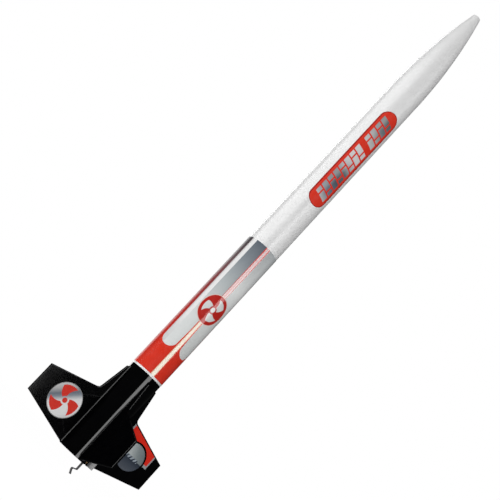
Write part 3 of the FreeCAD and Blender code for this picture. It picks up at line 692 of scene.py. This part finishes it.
class Strands:
    """Round threads gathered into one mesh. u runs round a thread, v along it in millimetres."""

    KNOT_STEPS = 48
    KNOT_SPAN = 3.2  # the half width of the trefoil below, before it is scaled

    def __init__(self):
        self.verts, self.faces, self.uvs = [], [], []

    def add(self, path, radius, sides):
        """A round tube along a list of points, closed at both ends."""
        first = len(self.verts)
        tangent = (path[1] - path[0]).normalized()
        side = tangent.orthogonal().normalized()
        travelled = 0.0
        for k, point in enumerate(path):
            ahead = (path[min(k + 1, len(path) - 1)] - path[max(k - 1, 0)]).normalized()
            side = tangent.rotation_difference(ahead) @ side
            tangent = ahead
            across = tangent.cross(side)
            if k:
                travelled += (point - path[k - 1]).length / MM
            for n in range(sides):
                angle = math.tau * n / sides
                self.verts.append(point + radius * (math.cos(angle) * side + math.sin(angle) * across))
                self.uvs.append((n / sides, travelled))
        for k in range(len(path) - 1):
            for n in range(sides):
                a, b = first + k * sides + n, first + k * sides + (n + 1) % sides
                self.faces.append((a, b, b + sides, a + sides))
        last = first + (len(path) - 1) * sides
        self.faces.append(tuple(first + n for n in reversed(range(sides))))
        self.faces.append(tuple(last + n for n in range(sides)))

    def add_knot(self, centre, size, axis_turn, radius):
        """A tight overhand knot: a trefoil that fits in a ball of that size."""
        spin = Matrix.Rotation(axis_turn, 3, "Z")
        path = []
        for k in range(self.KNOT_STEPS + 1):
            t = math.tau * k / self.KNOT_STEPS
            bend = Vector((
                math.sin(t) + 2 * math.sin(2 * t),
                math.cos(t) - 2 * math.cos(2 * t),
                -math.sin(3 * t),
            ))
            path.append(centre + spin @ (bend * (size / self.KNOT_SPAN)))
        self.add(path, radius, 8)

    def piece(self, name, material):
        return new_piece(name, self.verts, self.faces, material, self.uvs)


# The cord's route lies in a plane of constant y, in millimetres: up from the front ring, folds, then
# the eyelet in the nose's base.
CORD_Y = 1.2
CORD_R = 0.6
CORD_KNOT_R = 0.42  # the elastic is drawn thin in its knots
FOLD_SIDE = 9.0
FOLD_LOW = 125.0
FOLD_PITCH = 7.2
FOLD_COUNT = 16
EYELET_Z = 315.6


def cord_route():
    route = [(10.2, 64.75), (10.2, FOLD_LOW - 4 * FOLD_PITCH), (FOLD_SIDE, FOLD_LOW - FOLD_PITCH)]
    for k in range(FOLD_COUNT):
        side = FOLD_SIDE if k % 2 == 0 else -FOLD_SIDE
        route += [(side, FOLD_LOW + k * FOLD_PITCH), (-side, FOLD_LOW + k * FOLD_PITCH)]
    top = FOLD_LOW + FOLD_COUNT * FOLD_PITCH
    route += [(FOLD_SIDE, top), (10.6, top + 2 * FOLD_PITCH), (10.6, 300.0)]
    route += [(8.0, 310.0), (4.2, EYELET_Z - 0.8), (-1.77, EYELET_Z)]
    return [Vector((x, CORD_Y, z)) * MM for x, z in route]


def smooth_line(name, points, resolution):
    """Points along the NURBS spline that a route's points control."""
    data = bpy.data.curves.new(name, "CURVE")
    data.dimensions = "3D"
    data.resolution_u = resolution
    spline = data.splines.new("NURBS")
    spline.points.add(len(points) - 1)
    for slot, point in zip(spline.points, points):
        slot.co = (*point, 1.0)
    spline.order_u = 3
    spline.use_endpoint_u = True
    curve = bpy.data.objects.new(name, data)
    bpy.context.scene.collection.objects.link(curve)
    bpy.context.view_layer.update()
    mesh = bpy.data.meshes.new_from_object(curve)
    line = [v.co.copy() for v in mesh.vertices]
    bpy.data.objects.remove(curve)
    bpy.data.curves.remove(data)
    bpy.data.meshes.remove(mesh)
    return line


def make_shock_cord():
    """Elastic shock cord, folded up the tube, with a knot at each end."""
    line = smooth_line("shock_cord_line", cord_route(), 14)
    at_ring = line[0] + Vector((0, 0, -0.4 * MM))
    at_eyelet = line[-1] + Vector((-0.5 * MM, 0, 0))
    strands = Strands()
    strands.add(line, CORD_R * MM, 10)
    for centre in (at_ring, at_eyelet):
        strands.add_knot(centre, 1.15 * MM, 0.6, CORD_KNOT_R * MM)
    cord = strands.piece("shock_cord_elastic", braided_elastic())
    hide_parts("shock_cord")
    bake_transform(cord)


SHEET_LAYERS = 8
LAYER_PITCH = 0.12
TURN_PITCH = SHEET_LAYERS * LAYER_PITCH * 1.04  # how much a turn of the strip adds to the roll's radius
ROLL_CORE = 1.1
ROLL_ROOM = 0.35  # kept free inside the CAD roll's radius, for the swell
ROLL_END_ROOM = 3.0  # and this much of its length, for the slipped layers
ROLL_ROWS = 16
STEPS_PER_TURN = 30
WAIST_DEEP, WAIST_LONG = 0.35, 12.0  # the wound lines draw the roll's middle in


def roll_swell(angle, z):
    """How far the roll's surface stands in or out of a true cylinder, as a share of its radius."""
    where = on_circle(1.6, angle, z / 14.0)
    return 0.055 * noise.noise(where) + 0.02 * noise.noise(where * 3.1)


def roll_profile(outer):
    """The sheet's edge, seen along the roll: an angle, a radius, a layer and how far it slips endwise.
    Every other layer runs back, so that one sheet runs through them all."""
    turns = (outer - ROLL_CORE) / TURN_PITCH
    steps = int(turns * STEPS_PER_TURN)
    rng = random.Random(5)
    ends = [rng.uniform(-0.9, 0.9) for _ in range(SHEET_LAYERS)]
    profile = []
    for layer in range(SHEET_LAYERS):
        order = range(steps + 1) if layer % 2 == 0 else range(steps, -1, -1)
        for k in order:
            radius = ROLL_CORE + TURN_PITCH * turns * k / steps + layer * LAYER_PITCH
            slip = ends[layer] + 0.8 * math.sin(2.3 * (k / steps) * turns + layer)
            profile.append((math.tau * turns * k / steps, radius, slip))
    return profile


def make_canopy():
    """The canopy, pleated to a strip of eight layers and rolled up."""
    low, high = corner_mm("parachute_canopy")
    centre = (low + high) / 2
    outer = (high.x - low.x) / 2 - SHEET_LAYERS * LAYER_PITCH - ROLL_ROOM
    tall = high.z - low.z - ROLL_END_ROOM
    profile = roll_profile(outer)
    verts, faces = [], []
    for angle, radius, slip in profile:
        for row in range(ROLL_ROWS + 1):
            z = centre.z + (row / ROLL_ROWS - 0.5) * tall + slip
            waist = WAIST_DEEP * math.exp(-((z - centre.z) / WAIST_LONG) ** 2)
            r = radius * (1 + roll_swell(angle, z)) - waist * radius / outer
            verts.append(Vector((centre.x + r * math.cos(angle), centre.y + r * math.sin(angle), z)) * MM)
    column = ROLL_ROWS + 1
    for k in range(len(profile) - 1):
        for row in range(ROLL_ROWS):
            a = k * column + row
            faces.append((a, a + 1, a + column + 1, a + column))
    canopy = new_piece("rolled_canopy", verts, faces, canopy_film())
    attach(canopy, "nose")
    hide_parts("parachute_canopy")


LINE_COUNT = 6
LINE_R = 0.2
LINE_PITCH = 0.8
WIND_TURNS = 4.3
WIND_R = 8.62
WIND_TOP, WIND_BOTTOM = 286.5, 263.5
WIND_RISE = (WIND_TOP - WIND_BOTTOM - LINE_COUNT * LINE_PITCH) / WIND_TURNS  # down in a turn
WIND_STEPS = int(WIND_TURNS * 36)
BUNDLE_STEPS = 44
BUNDLE_TWISTS = 1.6


def wound_path(line, middle):
    """One line from its tape disc, round the roll with its neighbours. Points are in millimetres."""
    disc_low, disc_high = corner_mm("line_tape_discs")
    from_middle = line - (LINE_COUNT - 1) / 2
    path = [
        Vector((middle.x + from_middle * 0.5, disc_high.y - 1.0, disc_low.z + 3.0)),
        Vector((middle.x + from_middle * 0.45, -WIND_R - 0.25, WIND_TOP + 5.0)),
    ]
    for k in range(WIND_STEPS + 1):
        turned = WIND_TURNS * k / WIND_STEPS
        angle = math.tau * turned - math.pi / 2
        z = WIND_TOP - line * LINE_PITCH - WIND_RISE * turned
        path.append(middle + on_circle(WIND_R + 0.12 * math.sin(5 * angle + line), angle, z))
    return path


def bundle_spine(share, middle_x, start):
    """The bundle's middle line, from the end of the winding up the roll's -X side to the eyelet."""
    points = [
        start,
        Vector((middle_x - 8.6, -3.4, 266.0)),
        Vector((middle_x - 9.0, -CORD_Y, 276.0)),
        Vector((middle_x - 8.9, -CORD_Y, 304.0)),
        Vector((-6.4, -CORD_Y, 311.5)),
        Vector((1.6, -CORD_Y, EYELET_Z)),
    ]
    lengths = [(b - a).length for a, b in zip(points, points[1:])]
    target = share * sum(lengths)
    for a, b, long in zip(points, points[1:], lengths):
        if target <= long:
            return a.lerp(b, target / long)
        target -= long
    return points[-1]


def bundle_path(line, middle, start):
    """The same line from where its winding ends, in a loose twist with the others up to the eyelet."""
    path = []
    for k in range(1, BUNDLE_STEPS + 1):
        share = k / BUNDLE_STEPS
        swing = math.tau * (line / LINE_COUNT + BUNDLE_TWISTS * share)
        loose = 0.30 + 0.25 * math.sin(math.pi * share)
        path.append(bundle_spine(share, middle.x, start) + on_circle(loose, swing))
    return path


def make_shroud_lines():
    """Six lines, wound together round the roll, then up to a knot in the eyelet."""
    low, high = corner_mm("parachute_canopy")
    middle = Vector(((low.x + high.x) / 2, 0, 0))
    strands = Strands()
    for line in range(LINE_COUNT):
        path = wound_path(line, middle)
        path += bundle_path(line, middle, path[-1])
        strands.add([point * MM for point in path], LINE_R * MM, 6)
    strands.add_knot(Vector((2.1, -CORD_Y, EYELET_Z)) * MM, 1.1 * MM, -0.5, 0.36 * MM)
    lines = strands.piece("wound_lines", twisted_thread())
    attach(lines, "nose")
    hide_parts("shroud_lines")


# ---------------------------------------------------------------- room and light

FLOOR_Z = -0.35
FLOOR_R = 12.0


def make_floor():
    """A wide pale floor, far enough below for its shadow to fade. It glows a little, so that it looks
    as white as the world behind it."""
    mesh = bpy.data.meshes.new("floor")
    form = bmesh.new()
    bmesh.ops.create_circle(form, cap_ends=True, radius=FLOOR_R, segments=96)
    form.to_mesh(mesh)
    form.free()
    floor = bpy.data.objects.new("floor", mesh)
    floor.location.z = FLOOR_Z
    bpy.context.scene.collection.objects.link(floor)
    s = Surface("floor_paper")
    cloud = s.grain(800.0)
    material = s.finish(
        mixed(cloud, grey(250), grey(254)), cloud * 0.1 + 0.8,
        Emission_Color=(1, 1, 1, 1), Emission_Strength=0.8)
    mesh.materials.append(material)
    floor.visible_diffuse = False
    floor.visible_glossy = False


# How bright the world is to reflections, to shading and to the camera.
DIM, AMBIENT, WHITE_OUT = 0.02, 0.22, 1.0


def make_world():
    """White to the camera, an even soft grey for shading, and nearly nothing for reflections."""
    world = bpy.data.worlds.new("studio")
    bpy.context.scene.world = world
    world.use_nodes = True
    tree = world.node_tree
    tree.nodes.clear()
    path = tree.nodes.new("ShaderNodeLightPath")
    output = tree.nodes.new("ShaderNodeOutputWorld")
    shades = []
    for strength in (DIM, AMBIENT, WHITE_OUT):
        shade = tree.nodes.new("ShaderNodeBackground")
        shade.inputs["Color"].default_value = (1, 1, 1, 1)
        shade.inputs["Strength"].default_value = strength
        shades.append(shade.outputs[0])
    below = shades[0]
    for ray, shade in (("Is Diffuse Ray", shades[1]), ("Is Camera Ray", shades[2])):
        join = tree.nodes.new("ShaderNodeMixShader")
        tree.links.new(path.outputs[ray], join.inputs[0])
        tree.links.new(below, join.inputs[1])
        tree.links.new(shade, join.inputs[2])
        below = join.outputs[0]
    tree.links.new(below, output.inputs[0])


FILL_DISTANCE = 1.3
BOX_DISTANCE = 1.2  # nearer than the fills, because a box in a fill's own plane can be lost behind it
FILL_HEIGHT, FILL_WIDE, FILL_TALL = 0.35, 0.7, 1.2
BOX_TALL = 1.5


def area_light(name, azimuth, height, wide, tall, radiance, distance):
    """An upright rectangle that faces the rocket's axis. azimuth is in degrees, as on the rocket."""
    data = bpy.data.lights.new(name, "AREA")
    data.shape = "RECTANGLE"
    data.size, data.size_y = wide, tall
    data.energy = radiance * math.pi * wide * tall
    lamp = bpy.data.objects.new(name, data)
    facing = on_circle(1.0, math.radians(azimuth))
    lamp.location = facing * distance
    lamp.location.z = height
    lamp.rotation_euler = facing.to_track_quat("Z", "Y").to_euler()
    lamp.visible_camera = False
    bpy.context.scene.collection.objects.link(lamp)
    return lamp


def fill(name, azimuth, radiance):
    """A light that shades every piece and shows in no reflection."""
    lamp = area_light(name, azimuth, FILL_HEIGHT, FILL_WIDE, FILL_TALL, radiance, FILL_DISTANCE)
    lamp.visible_glossy = False


def highlight(name, azimuth, height, wide, tall, radiance, pieces):
    """A light that shows only in reflections, and only on the listed nodes."""
    lamp = area_light(name, azimuth, height, wide, tall, radiance, BOX_DISTANCE)
    lamp.visible_diffuse = False
    group = bpy.data.collections.new(name + "_lit")
    for piece in pieces:
        group.objects.link(nodes[piece])
    lamp.light_linking.receiver_collection = group


WHITE_PARTS = ("body_tube", "nose_cone")
BLACK_PARTS = ("fin_unit",)
WRAP = ("tail_wrap",)
PRINTED_PARTS = ("tail_wrap", "name_panels")
STICKERS = ("fin_emblem_stickers", "fin_grey_discs", "fin_red_panels")


def make_lights():
    """A box at azimuth A shows on the tube at an azimuth halfway between A and the camera's."""
    fill("left_fill", 165, 3.36)
    fill("key", -128, 1.46)
    fill("right_fill", -85, 2.4)
    fill("back_fill", 50, 1.64)
    highlight("left_glow", -176, 0.48, 2.28, BOX_TALL, 2.7, WHITE_PARTS)
    highlight("strip", -84, 0.20, 0.52, 0.9, 4.8, WHITE_PARTS + BLACK_PARTS + WRAP)
    highlight("right_glow", -55, 0.48, 0.64, BOX_TALL, 1.9, WHITE_PARTS)
    highlight("rim", 98, 0.48, 0.73, BOX_TALL, 1.1, WHITE_PARTS + PRINTED_PARTS)
    highlight("back_strip", 92, 0.48, 0.30, BOX_TALL, 3.0, WHITE_PARTS + BLACK_PARTS)
    for name in STICKERS:
        nodes[name].visible_glossy = False


# ---------------------------------------------------------------- make everything

MATERIALS = {
    gloss_white_paper: ("body_tube",),
    gloss_white_plastic: ("nose_cone", "nose_base_cap"),
    gloss_black_plastic: ("fin_unit",),
    printed_wrap: ("tail_wrap",),
    name_panel: ("name_panels",),
    fin_emblem: ("fin_emblem_stickers",),
    fin_grey_disc: ("fin_grey_discs",),
    fin_red_panel: ("fin_red_panels",),
    lug_paper: ("launch_lug",),
    kraft_paper: ("motor_tube", "thrust_ring", "front_centering_ring", "rear_centering_ring"),
    spring_steel: ("engine_hook",),
    ballast_clay: ("nose_weight",),
    white_tape: ("line_tape_discs",),
}


def paint_cad_nodes():
    for make, names in MATERIALS.items():
        material = make()
        for name in names:
            for slot in nodes[name].material_slots:
                slot.material = material


make_camera()
paint_cad_nodes()
make_shock_cord()
make_canopy()
make_shroud_lines()
make_floor()
make_world()
make_lights()
bpy.context.scene.view_settings.view_transform = "Standard"
